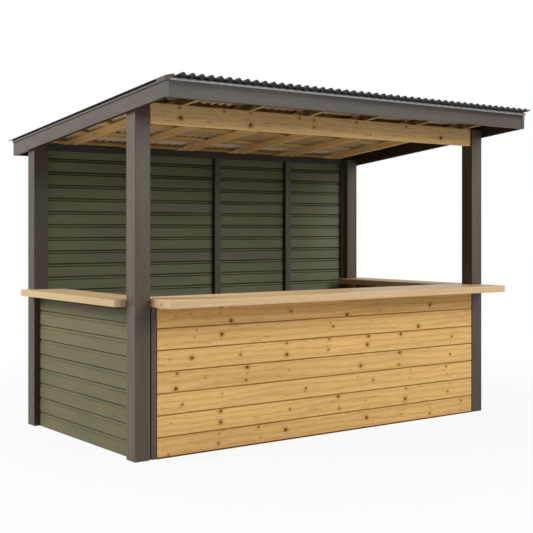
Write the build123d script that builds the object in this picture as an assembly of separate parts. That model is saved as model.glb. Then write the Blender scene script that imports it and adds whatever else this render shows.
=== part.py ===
from build123d import *
import math
import os

# Open-fronted timber market stall under a lean-to sheet roof, in millimetres.
# x runs along the front, y from front to back, z up.
# Sizes start from the outer front corner of the left post;
# the finished pieces are moved so that the origin is the middle of the plan at ground level.

# Post frame
post_side = 120.0
post_ease = 4.0
frame_width = 3400.0
frame_depth = 1740.0
beam_top = 2415.0
beam_height = 140.0
beam_thickness = 50.0
beam_ease = 3.0
header_height = 55.0

# Roof
roof_pitch = 5.5
front_overhang = 440.0
back_overhang = 222.0
rafter_count = 6
rafter_width = 45.0
rafter_height = 50.0
rafter_end_shares = (0.113, 0.937)
purlin_count = 6
purlin_width = 95.0
purlin_height = 20.0
purlin_set_back = 210.0
fascia_thickness = 30.0
fascia_drop = 62.0
sheet_waves = 47
sheet_thickness = 1.6
sheet_depth = 20.0
sheet_front_overhang = 60.0
sheet_back_overhang = 98.0
sheet_left_set_in = 34.0
sheet_right_overhang = 45.0
sheet_seat = 0.2
capping_thickness = 2.0
capping_stand_off = 6.0
capping_drop = 28.0
capping_rise = 1.0
capping_peak = 19.0
capping_peak_set_in = 30.0
capping_lap = 7.0
capping_return = 8.0
capping_gap = 1.8
flashing_height = 21.0
flashing_fall = 9.0
flashing_thickness = 1.5
flashing_stand_off = 7.0
flashing_hem = 4.0
flashing_set_down = 0.5
quarter_wave_share = 0.25

# Walls
board_thickness = 22.0
groove_width = 6.0
groove_depth = 3.0
joint_height = 11.0
joint_depth = 9.0
cove_height = 28.0
cove_depth = 8.0
front_courses = 7
side_courses = 9
back_courses = 21
side_wall_inset = 48.0
stud_width = 65.0
stud_depth = 40.0
stud_shares = (0.291, 0.5265, 0.762)
side_stud_share = 0.5
stile_width = 52.0
stile_recess = 6.0
corner_batten = 20.0

# Counter and shelves
counter_top = 1090.0
counter_thickness = 54.0
counter_front = 260.0
counter_back = 200.0
plank_ease = 4.0
shelf_top = 1085.0
shelf_thickness = 50.0
shelf_overhang = 90.0
shelf_reach = 240.0
shelf_lap = 50.0

# Worked-out sizes
half_share = 0.5
quarter_turn = 90.0
fall = math.tan(math.radians(roof_pitch))
front_wall_height = counter_top - counter_thickness
side_wall_height = shelf_top - shelf_thickness
front_face = -front_overhang
back_face = frame_depth + back_overhang
sheet_front = front_face - sheet_front_overhang
sheet_back = back_face + sheet_back_overhang
back_inner = frame_depth - board_thickness
stud_front = back_inner - stud_depth
far_post = frame_width - post_side
back_post = frame_depth - post_side
capping_out = fascia_thickness + capping_stand_off + capping_thickness
plan_left = -max(shelf_overhang, capping_out)
plan_right = frame_width + max(shelf_overhang, sheet_right_overhang)
origin_x = (plan_left + plan_right) * half_share
origin_y = (sheet_front + sheet_back) * half_share


def rafter_underside(y):
    return beam_top - fall * y


def sheet_bed(y):
    return rafter_underside(y) + rafter_height + purlin_height


def fascia_bottom(y):
    return rafter_underside(y) - fascia_drop


def block(x0, x1, y0, y1, z0, z1):
    corner = (Align.MIN, Align.MIN, Align.MIN)
    return Pos(x0, y0, z0) * Box(x1 - x0, y1 - y0, z1 - z0, align=corner)


def outline(points):
    return Polygon(*points, align=None)


def along_x(section, x0, x1):
    # A flat section in (y, z) carried from x0 to x1.
    return extrude(Plane.YZ.offset(x0) * section, amount=x1 - x0)


def along_y(section, y0, y1):
    # A flat section in (x, z) carried from y0 to y1.
    return extrude(Plane.XZ.offset(-y1) * section, amount=y1 - y0)


def eased(stick, axis, size):
    # Timber with the four arrises along its length taken off.
    return chamfer(stick.edges().filter_by(axis), size)


def side_block(left, x0, x1, y0, y1, z0, z1):
    # A block given from the left post's outer face, mirrored for the right side.
    if left:
        return block(x0, x1, y0, y1, z0, z1)
    return block(frame_width - x1, frame_width - x0, y0, y1, z0, z1)


def post(left, front):
    y0 = 0 if front else back_post
    top = beam_top if front else rafter_underside(frame_depth)
    stick = side_block(left, 0, post_side, y0, y0 + post_side, 0, top)
    return eased(stick, Axis.Z, post_ease)


def front_beam():
    stick = block(post_side, far_post, 0, beam_thickness, beam_top - beam_height, beam_top)
    return eased(stick, Axis.X, beam_ease)


def header_top():
    return rafter_underside(stud_front)


def back_header():
    bottom = header_top() - header_height
    return block(post_side, far_post, stud_front, back_inner, bottom, header_top())


def rafter_centre(index):
    first, last = rafter_end_shares
    return frame_width * (first + (last - first) * index / (rafter_count - 1))


def rafter(index):
    # Straight underside with a flat seat over the beam and over the wall header.
    y0 = front_face + fascia_thickness
    y1 = back_face - fascia_thickness
    points = [
        (y0, rafter_underside(y0)),
        (0, beam_top),
        (beam_thickness, beam_top),
        (beam_thickness, rafter_underside(beam_thickness)),
        (stud_front, header_top()),
        (frame_depth, header_top()),
        (frame_depth, rafter_underside(frame_depth)),
        (y1, rafter_underside(y1)),
        (y1, rafter_underside(y1) + rafter_height),
        (y0, rafter_underside(y0) + rafter_height),
    ]
    left_face = rafter_centre(index) - rafter_width * half_share
    return along_x(outline(points), left_face, left_face + rafter_width)


def purlin(index):
    y_first = front_face + fascia_thickness + purlin_set_back
    y_last = back_face - fascia_thickness - purlin_width
    y0 = y_first + (y_last - y_first) * index / (purlin_count - 1)
    y1 = y0 + purlin_width
    points = [
        (y0, sheet_bed(y0) - purlin_height),
        (y1, sheet_bed(y1) - purlin_height),
        (y1, sheet_bed(y1)),
        (y0, sheet_bed(y0)),
    ]
    return along_x(outline(points), 0, frame_width)


def cross_fascia(front):
    # Level lower edge, upper edge bevelled to the sheet.
    y0 = front_face if front else back_face - fascia_thickness
    y1 = y0 + fascia_thickness
    bottom = fascia_bottom(y0 if front else y1)
    points = [(y0, bottom), (y1, bottom), (y1, sheet_bed(y1)), (y0, sheet_bed(y0))]
    return along_x(outline(points), 0, frame_width)


def side_fascia(left):
    points = [
        (front_face, fascia_bottom(front_face)),
        (back_face, fascia_bottom(back_face)),
        (back_face, sheet_bed(back_face)),
        (front_face, sheet_bed(front_face)),
    ]
    x0 = -fascia_thickness if left else frame_width
    return along_x(outline(points), x0, x0 + fascia_thickness)


def front_flashing():
    # Folded strip: a leg sloping off the fascia, an upright leg clear of it and a hem turned back below.
    top = sheet_bed(front_face) - flashing_set_down
    slant = math.hypot(flashing_fall, flashing_stand_off) / flashing_stand_off
    under = flashing_thickness * slant
    bottom = top - flashing_height
    outer = front_face - flashing_stand_off
    inner = outer + flashing_thickness
    hem_top = bottom + flashing_thickness
    bend = top - flashing_fall
    inner_bend = bend - under + flashing_fall * flashing_thickness / flashing_stand_off
    points = [
        (front_face, top),
        (outer, bend),
        (outer, bottom),
        (outer + flashing_hem, bottom),
        (outer + flashing_hem, hem_top),
        (inner, hem_top),
        (inner, inner_bend),
        (front_face, top - under),
    ]
    right_end = frame_width + fascia_thickness + flashing_stand_off
    return along_x(outline(points), capping_return, right_end)


def down_slope(section, y0, y1):
    # A flat upright section carried down the roof slope from y0 to y1.
    run = y1 - y0
    return extrude(section, amount=math.hypot(run, fall * run), dir=(0, run, -fall * run))


def roof_sheet():
    # Round corrugations: trough and crest arcs of one radius meeting at a common tangent,
    # from a trough at the left edge to a crest at the right one.
    width = frame_width + sheet_right_overhang - sheet_left_set_in
    pitch = width / (sheet_waves + half_share)
    quarter = pitch * quarter_wave_share
    turn = math.atan2(sheet_depth * half_share, quarter) / half_share
    radius = quarter / math.sin(turn)
    z_low = sheet_bed(sheet_front) + sheet_seat + sheet_thickness * half_share

    def bend(centre_x, crest, offset, angle):
        r = radius + offset if crest else radius - offset
        x = centre_x + r * math.sin(angle)
        if crest:
            return (x, sheet_front, z_low + sheet_depth - radius + r * math.cos(angle))
        return (x, sheet_front, z_low + radius - r * math.cos(angle))

    def edge_line(offset):
        arcs = []
        for wave in range(sheet_waves + 1):
            trough_x = sheet_left_set_in + pitch * wave
            crest_x = trough_x + pitch * half_share
            start = 0 if wave == 0 else -turn
            stop = 0 if wave == sheet_waves else turn
            bends = [(trough_x, False, start, turn), (crest_x, True, -turn, stop)]
            for centre_x, crest, begin, end in bends:
                middle = (begin + end) * half_share
                spots = [bend(centre_x, crest, offset, angle) for angle in (begin, middle, end)]
                arcs.append(ThreePointArc(*spots))
        return arcs

    lower = edge_line(-sheet_thickness * half_share)
    upper = edge_line(sheet_thickness * half_share)
    left_end = Line(lower[0] @ 0, upper[0] @ 0)
    right_end = Line(lower[-1] @ 1, upper[-1] @ 1)
    section = make_face([*lower, right_end, *upper, left_end])
    return down_slope(section, sheet_front, sheet_back)


def left_capping():
    # Folded strip: a lip turned back to the side fascia, a leg hanging clear of it, a ridge over
    # the sheet's edge, and a front end closed by a plate that turns the roof's corner.
    front = front_face - capping_stand_off - capping_thickness
    base = sheet_bed(front)
    side = capping_thickness - capping_out
    low = base - capping_drop
    shoulder = base + capping_rise
    peak = base + capping_peak
    foot = base + sheet_seat + sheet_thickness + capping_gap
    foot_x = sheet_left_set_in + capping_lap
    ridge = [
        (-capping_out, shoulder + capping_thickness),
        (capping_peak_set_in, peak + capping_thickness),
        (foot_x, foot + capping_thickness),
    ]
    under = [
        (foot_x, foot),
        (capping_peak_set_in, peak),
        (side, shoulder),
        (side, low + capping_thickness),
        (-fascia_thickness, low + capping_thickness),
        (-fascia_thickness, low),
    ]
    closing = [(foot_x, foot), (capping_return, base), (capping_return, low)]
    strip = outline([(-capping_out, low), *ridge, *under])
    plate = outline([(-capping_out, low), *ridge, *closing])
    upright = Plane.XZ.offset(-front)
    closed_end = down_slope(upright * plate, front, front + capping_thickness)
    return down_slope(upright * strip, front, back_face) + closed_end


def joints(courses, height):
    cover = height / courses
    return [cover * course for course in range(1, courses)]


def v_side(face, inward, courses, height):
    # Board face at depth "face" with a small V at each joint, as edges from the foot up.
    reach = groove_width * half_share
    points = [(face, 0)]
    for joint in joints(courses, height):
        bed = (face + inward * groove_depth, joint)
        points += [(face, joint - reach), bed, (face, joint + reach)]
    return [Polyline(*points, (face, height))]


def rebated_side(face, inward, courses, height):
    # Board face cut back at the top of each course, so that a shadow joint shows under the next.
    bed = face + inward * joint_depth
    points = [(face, 0)]
    for joint in joints(courses, height):
        ledge = joint - joint_height
        points += [(face, ledge), (bed, ledge), (bed, joint), (face, joint)]
    return [Polyline(*points, (face, height))]


def coved_side(face, inward, courses, height):
    # Shiplap: each course is hollowed at its top by a quarter round, which runs up under the next lip.
    bed = face + inward * cove_depth
    edges = []
    start = (face, 0)
    for joint in joints(courses, height):
        foot = joint - cove_height
        centre = (face, foot + cove_depth)
        edges.append(Line(start, (face, foot)))
        edges.append(CenterArc(centre, cove_depth, -quarter_turn, inward * quarter_turn))
        edges.append(Polyline((bed, foot + cove_depth), (bed, joint), (face, joint)))
        start = (face, joint)
    edges.append(Line(start, (face, height)))
    return edges


def boarding(first_side, second_side, courses, height):
    # Wall section in (depth, height): the first side at zero depth, the second one board deep.
    first = first_side(0, 1, courses, height)
    second = second_side(board_thickness, -1, courses, height)
    foot = Line((0, 0), (board_thickness, 0))
    head = Line((0, height), (board_thickness, height))
    return make_face([foot, head, *first, *second])


def front_boards():
    section = boarding(rebated_side, v_side, front_courses, front_wall_height)
    return along_x(section, post_side + stile_width, far_post)


def back_boards():
    # The coved side faces into the stall.
    height = rafter_underside(frame_depth)
    section = boarding(coved_side, v_side, back_courses, height)
    return along_x(Pos(back_inner, 0) * section, post_side, far_post)


def side_boards(left):
    section = Pos(side_wall_inset, 0) * boarding(coved_side, v_side, side_courses, side_wall_height)
    if not left:
        section = Pos(frame_width, 0) * mirror(section, about=Plane.YZ)
    return along_y(section, post_side, back_post)


def front_stile():
    y1 = board_thickness + stud_depth
    return block(post_side, post_side + stile_width, stile_recess, y1, 0, front_wall_height)


def front_studs():
    x_list = [frame_width * share - stud_width * half_share for share in stud_shares]
    x_list.append(far_post - stud_width)
    y1 = board_thickness + stud_depth
    return [block(x, x + stud_width, board_thickness, y1, 0, front_wall_height) for x in x_list]


def back_studs():
    top = header_top() - header_height
    x_list = [frame_width * share - stud_width * half_share for share in stud_shares]
    return [block(x, x + stud_width, stud_front, back_inner, 0, top) for x in x_list]


def back_corner_batten(left):
    top = header_top() - header_height
    x1 = post_side + corner_batten
    return side_block(left, post_side, x1, stud_front, back_inner, 0, top)


def side_studs(left):
    x0 = side_wall_inset + board_thickness
    x1 = x0 + stud_depth
    middle = post_side + (back_post - post_side - stud_width) * side_stud_share
    y_list = [post_side, middle, back_post - stud_width]
    return [side_block(left, x0, x1, y, y + stud_width, 0, side_wall_height) for y in y_list]


def counter_plank(front):
    bottom = counter_top - counter_thickness
    plank = block(post_side, far_post, 0, counter_back, bottom, counter_top)
    if front:
        plank = block(post_side, frame_width, -counter_front, 0, bottom, counter_top)
    return eased(plank, Axis.X, plank_ease)


def shelf_plank(left, place):
    # Three planks side by side: outside the posts, in line with them, and inside.
    spans = {
        "outer": (-shelf_overhang, 0, post_side, back_post + shelf_lap),
        "middle": (0, post_side, post_side, back_post),
        "inner": (post_side, shelf_reach, counter_back, back_post),
    }
    plank = side_block(left, *spans[place], shelf_top - shelf_thickness, shelf_top)
    return eased(plank, Axis.Y, plank_ease)


def all_pieces():
    pieces = {
        "front_beam": front_beam(),
        "back_header": back_header(),
        "front_fascia": cross_fascia(True),
        "back_fascia": cross_fascia(False),
        "front_flashing": front_flashing(),
        "left_capping": left_capping(),
        "roof_sheet": roof_sheet(),
        "front_boards": front_boards(),
        "back_boards": back_boards(),
        "front_stile": front_stile(),
        "front_studs": front_studs(),
        "back_studs": back_studs(),
        "counter_front_plank": counter_plank(True),
        "counter_back_plank": counter_plank(False),
    }
    for index in range(rafter_count):
        pieces[f"rafter_{index + 1}"] = rafter(index)
    for index in range(purlin_count):
        pieces[f"purlin_{index + 1}"] = purlin(index)
    for side, left in (("left", True), ("right", False)):
        pieces[f"front_{side}_post"] = post(left, True)
        pieces[f"back_{side}_post"] = post(left, False)
        pieces[f"{side}_fascia"] = side_fascia(left)
        pieces[f"{side}_boards"] = side_boards(left)
        pieces[f"{side}_studs"] = side_studs(left)
        pieces[f"back_{side}_batten"] = back_corner_batten(left)
        for place in ("outer", "middle", "inner"):
            pieces[f"{side}_shelf_{place}"] = shelf_plank(left, place)
    return pieces


os.makedirs("parts", exist_ok=True)
move = Pos(-origin_x, -origin_y, 0)
for name, piece in all_pieces().items():
    solids = piece if isinstance(piece, list) else [piece]
    export_step(Compound([move * solid for solid in solids]), f"parts/{name}.step")
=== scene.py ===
import math
import bpy
import numpy as np
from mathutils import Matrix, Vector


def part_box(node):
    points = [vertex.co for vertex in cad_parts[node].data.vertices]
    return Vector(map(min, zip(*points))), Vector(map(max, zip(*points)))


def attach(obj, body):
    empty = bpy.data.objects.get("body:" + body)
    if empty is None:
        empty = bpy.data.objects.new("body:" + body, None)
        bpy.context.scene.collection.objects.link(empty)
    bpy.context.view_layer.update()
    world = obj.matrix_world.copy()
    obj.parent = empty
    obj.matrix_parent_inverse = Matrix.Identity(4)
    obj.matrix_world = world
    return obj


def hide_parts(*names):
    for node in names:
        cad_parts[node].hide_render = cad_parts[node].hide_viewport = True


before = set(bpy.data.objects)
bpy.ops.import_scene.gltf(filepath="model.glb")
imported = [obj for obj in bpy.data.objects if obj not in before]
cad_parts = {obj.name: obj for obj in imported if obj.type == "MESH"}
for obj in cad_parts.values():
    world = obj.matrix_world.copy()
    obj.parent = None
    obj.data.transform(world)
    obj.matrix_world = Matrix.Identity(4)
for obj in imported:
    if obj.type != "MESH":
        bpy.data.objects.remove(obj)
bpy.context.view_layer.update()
print("frame loaded")

# The stall stands with its serving front towards -y; x runs to the right, z up, all in metres.
rng = np.random.default_rng(7)
unit = np.eye(3)
xAxis, yAxis, zAxis = unit
roofPitch = 5.5  # degrees, falling towards the back
fall = math.tan(math.radians(roofPitch))  # drop of the roof per metre
# the fourth value holds joint dirt and painted shade
pointValues = ("tone", "edge", "knot", "groove")  # values kept on points, besides the grain
finishValues = pointValues + ("side",)  # what a finish reads; the side is kept on faces
grainLength = 9.0  # metres of pattern in which a stick's grain may start
heartReach = (0.05, 0.12)  # least and most metres from a stick's middle to the heart of its tree
endEase = 0.7  # arris at a stick's ends as a share of its long ones


def box(nodeName):
    low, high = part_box(nodeName)
    return np.array(low), np.array(high)


# Mesh parts: arrays of points and faces with the values that the finishes read.

def joinParts(parts):
    # Stacks several parts into one, shifting the face numbers of each by the points before it.
    starts = np.cumsum([0] + [len(part["points"]) for part in parts]).tolist()
    points = np.concatenate([part["points"] for part in parts])
    faces = [[i + start for i in face] for part, start in zip(parts, starts) for face in part["faces"]]
    values = {"side": [np.broadcast_to(part.get("side", 0.0), len(part["faces"])) for part in parts]}
    values["grain"] = [np.broadcast_to(part.get("grain", 0.0), part["points"].shape) for part in parts]
    for key in pointValues:
        values[key] = [np.broadcast_to(part.get(key, 0.0), len(part["points"])) for part in parts]
    return points, faces, {key: np.concatenate(arrays) for key, arrays in values.items()}


def makePiece(name, parts, material, nodeNames, smooth=False):
    points, faces, values = joinParts(parts)
    mesh = bpy.data.meshes.new(name)
    mesh.from_pydata(points.tolist(), [], faces)
    for key, array in values.items():
        kind, field = ("FLOAT_VECTOR", "vector") if key == "grain" else ("FLOAT", "value")
        layer = mesh.attributes.new(key, kind, "FACE" if key == "side" else "POINT")
        layer.data.foreach_set(field, array.ravel().astype(np.float32))
    mesh.materials.append(material)
    mesh.polygons.foreach_set("use_smooth", np.full(len(mesh.polygons), smooth))
    mesh.validate()
    mesh.update()
    piece = bpy.data.objects.new(name, mesh)
    bpy.context.collection.objects.link(piece)
    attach(piece, "root")
    if nodeNames:
        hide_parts(*nodeNames)


def roundedSection(wide, high, radius, steps=2):
    # Rounded rectangle as a loop: each corner is a quarter circle about a centre set in by the radius.
    turn = np.linspace(0, math.pi / 2, steps + 1)
    quarter = (np.arange(4)[:, None] * math.pi / 2 + turn).ravel()
    corner = np.repeat(np.array([[1, 1], [-1, 1], [-1, -1], [1, -1]]), steps + 1, axis=0)
    ring = corner * [wide / 2 - radius, high / 2 - radius]
    ring = ring + radius * np.stack([np.cos(quarter), np.sin(quarter)], 1)
    worn = np.tile(np.sin(np.linspace(0, math.pi, steps + 1)), 4)  # 1 on the arris, 0 where the flat begins
    return {"ring": ring, "worn": worn, "groove": np.zeros(len(ring))}


def sweep(origin, along, aDir, bDir, section, stations=(0, 1), ease=0.002, lift=None, spread=heartReach):
    # Section carried along a straight path: point = origin + s*along + p*aDir + q*bDir, with the loop
    # drawn in a little at both ends so that the end arris is eased.
    origin, along, aDir, bDir = (np.asarray(v, float) for v in (origin, along, aDir, bDir))
    ring = section["ring"]
    length = np.linalg.norm(along)
    tip = ease / length
    s = np.concatenate([[0], np.clip(stations, tip, 1 - tip), [1]])
    centre, span = (ring.max(0) + ring.min(0)) / 2, (ring.max(0) - ring.min(0)) / 2
    draw = np.ones((len(s), 1, 2))
    draw[[0, -1]] = (span - ease) / span
    loops = (ring - centre) * draw + centre
    if lift is not None:  # raises the lower side, station by station
        loops[..., 1] += np.concatenate([[0], lift, [0]])[:, None] * (ring[:, 1] < 0)
    points = origin + s[:, None, None] * along + loops[..., :1] * aDir + loops[..., 1:] * bDir
    m, n = len(ring), len(s)
    i, j = np.meshgrid(np.arange(n - 1), np.arange(m), indexing="ij")
    k = (j + 1) % m
    quads = np.stack([i * m + j, i * m + k, (i + 1) * m + k, (i + 1) * m + j], -1).reshape(-1, 4)
    faces = quads.tolist() + [list(range(m))[::-1], list(range((n - 1) * m, n * m))]
    p, q = ring.T
    turned = np.sum(p * np.roll(q, -1) - q * np.roll(p, -1))  # sign of the loop's turn
    if np.dot(np.cross(aDir, bDir), along) * turned < 0:
        faces = [face[::-1] for face in faces]
    groove = np.array(np.broadcast_to(section["groove"], (n, m)), float)
    if np.ndim(section["groove"]) == 1:
        groove[[0, -1]] = 0  # no dirt or painted shade on the cut ends
    shift = np.array([rng.uniform(0, grainLength), rng.uniform(*spread), rng.uniform(*spread)])
    grain = np.concatenate([np.broadcast_to((s * length)[:, None, None], (n, m, 1)), loops], -1) + shift
    toGrain = np.stack([along / length, aDir, bDir], 1)
    return {"points": points.reshape(-1, 3), "faces": faces, "grain": grain.reshape(-1, 3),
            "edge": np.tile(section["worn"], n), "groove": groove.ravel(),
            "side": np.concatenate([np.zeros(len(quads)), [1, 1]]),  # 1 on the cut ends
            "tone": rng.uniform(-1, 1), "grainAt": lambda where: (where - origin) @ toGrain + shift}


def timberInBox(low, high, axis, radius, spread=heartReach, sideShade=0.0, topShade=0.0, stations=(0, 1)):
    # Eased stick that fills a box, its grain along the given axis (0, 1 or 2), with painted shade on one side
    # or the top.
    low, high = np.asarray(low, float), np.asarray(high, float)
    a, b = [k for k in range(3) if k != axis]
    size = high - low
    origin = (low + high) / 2
    origin[axis] = low[axis]
    section = roundedSection(size[a], size[b], radius)
    across, upright = section["ring"].T
    section["groove"] = np.maximum(np.where(across < radius / 2 - size[a] / 2, sideShade, 0.0),
                                   np.where(upright > 0, topShade, 0.0))
    along = unit[axis] * size[axis]
    return sweep(origin, along, unit[a], unit[b], section, stations, radius * endEase, spread=spread)


knotForm = {"along": 1.2, "across": 0.6, "dome": 0.0003, "drop": 0.0002,  # rim's stretch, height, its fall
            "margin": 0.003, "inset": 0.7, "grow": 2.2}  # bare edge; distance from it and halo in radii


def knotDiscs(host, places, radii, uDir, vDir, outDir, vLimits, strength=1.0, rings=4, spokes=14):
    # Low domes on a face: point = place + t*radius*(stretch*cos*u + stretch*sin*v) + out, t from 0 to 1,
    # drawn out along and across the grain towards the rim, cut straight at the board's edges.
    t = np.linspace(0, 1, rings + 1)[1:, None]
    turn = np.arange(spokes) * 2 * math.pi / spokes
    u = np.concatenate([[0], (t * (1 + knotForm["along"] * t ** 3) * np.cos(turn)).ravel()])
    v = np.concatenate([[0], (t * (1 + knotForm["across"] * t ** 3) * np.sin(turn)).ravel()])
    out = np.concatenate([[0], np.repeat(t, spokes)])
    points = places[:, None] + radii[:, None, None] * (u[:, None] * uDir + v[:, None] * vDir)
    height = points @ vDir
    points = points + (np.clip(height, *vLimits) - height)[..., None] * vDir
    dome = knotForm["dome"] - knotForm["drop"] * out[:, None] ** 2
    points = (points + dome * outDir).reshape(-1, 3)
    j = np.arange(spokes)
    k = (j + 1) % spokes
    starts = 1 + spokes * np.arange(rings - 1)
    bands = [np.stack([r + j, r + spokes + j, r + spokes + k, r + k], 1) for r in starts]
    one = np.stack([0 * j, 1 + j, 1 + k], 1).tolist() + np.concatenate(bands).tolist()
    if np.dot(np.cross(uDir, vDir), outDir) < 0:
        one = [face[::-1] for face in one]
    faces = [[i + n * len(out) for i in face] for n in range(len(places)) for face in one]
    return {"points": points, "faces": faces, "grain": host["grainAt"](points),
            "knot": np.outer(np.broadcast_to(strength, len(places)), 1 - out).ravel(), "tone": host["tone"]}


# Finishes.

def colour(code):
    # sRGB hex to linear red, green, blue and alpha.
    value = np.array([int(code[i:i + 2], 16) for i in (1, 3, 5)]) / 255
    linear = np.where(value <= 0.04045, value / 12.92, ((value + 0.055) / 1.055) ** 2.4)
    return (*linear.tolist(), 1.0)


def addNode(tree, kind, inputs=None, out=0, **settings):
    # Adds one node, sets its values, joins what is given as a socket and returns one of its outputs.
    made = tree.nodes.new(kind)
    for key, value in settings.items():
        setattr(made, key, value)
    for key, value in (inputs or {}).items():
        if isinstance(value, bpy.types.NodeSocket):
            tree.links.new(value, made.inputs[key])
        else:
            made.inputs[key].default_value = value
    return made.outputs[out] if len(made.outputs) else made


def newMaterial(name):
    material = bpy.data.materials.new(name)
    material.use_nodes = True
    material.node_tree.nodes.clear()
    return material, material.node_tree


def meshInputs(tree, patterns):
    # The place in the grain, the other values kept on the mesh, and the place scaled to each pattern.
    grain = addNode(tree, "ShaderNodeAttribute", out="Vector", attribute_name="grain")
    values = [addNode(tree, "ShaderNodeAttribute", out="Fac", attribute_name=key) for key in finishValues]
    scaled = [addNode(tree, "ShaderNodeVectorMath", {0: grain, 1: (1 / length, 1 / wide, 1 / wide)},
                      operation="MULTIPLY") for length, wide in patterns.values()]
    return grain, values, scaled


def closeMaterial(tree, look, body, gloss, bump):
    # Sheen over the body's colour, joined to the material's output.
    shader = addNode(tree, "ShaderNodeBsdfPrincipled", {
        "Base Color": body, "Roughness": gloss, "Normal": bump, "IOR": 1.5,
        "Specular IOR Level": look["gloss"]})
    addNode(tree, "ShaderNodeOutputMaterial", {"Surface": shader})


pineLooks = {  # knotty pine: colours, width of a growth ring in metres, strength of the rings and streaks
    # the joint colour serves joint dirt and painted shade, the arris colour wear and painted highlight
    "boards": {"name": "clear_finished_pine", "light": "#E4BB79", "dark": "#BE8D48", "streak": "#94622A",
               "end": "#A98253", "arris": "#E6C48C", "joint": "#8A5A0C", "roughness": 0.50, "gloss": 0.07,
               "ring": 0.021, "rings": 0.42, "streaks": 0.62},
    "frame": {"name": "sawn_pine", "light": "#F8D092", "dark": "#D2A464", "streak": "#80592C",
              "end": "#9C7F58", "arris": "#F0D49C", "joint": "#33260A", "roughness": 0.68, "gloss": 0.05,
              "ring": 0.019, "rings": 0.28, "streaks": 0.6},
    "counter": {"name": "planed_pale_pine", "light": "#DCBC90", "dark": "#C19D70", "streak": "#A08056",
                "end": "#B89A72", "arris": "#E8CEA4", "joint": "#3E2710", "roughness": 0.46, "gloss": 0.2,
                "ring": 0.010, "rings": 0.40, "streaks": 0.4},
    "shelf": {"name": "planed_shelf_pine", "light": "#BAA27C", "dark": "#A48D69", "streak": "#877049",
              "end": "#DEC49E", "arris": "#C8B290", "joint": "#70480E", "roughness": 0.46, "gloss": 0.08,
              "ring": 0.010, "rings": 0.40, "streaks": 0.4},
}
pinePatterns = {"slow": (0.9, 0.125), "long": (0.11, 0.007),  # metres along the grain and across it
                "thin": (0.06, 0.0011), "fine": (0.0077, 0.006)}
dirtAndShadeColours = {"halo": "#A06A28", "core": "#4A2808",  # round knots and in them; the core is also the painted contact shadow along the boards' foot
               # paint and steel serve for dirt and painted shade
               "paint": "#20170A", "check": "#1C1814", "steel": "#0E0D0C"}


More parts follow.
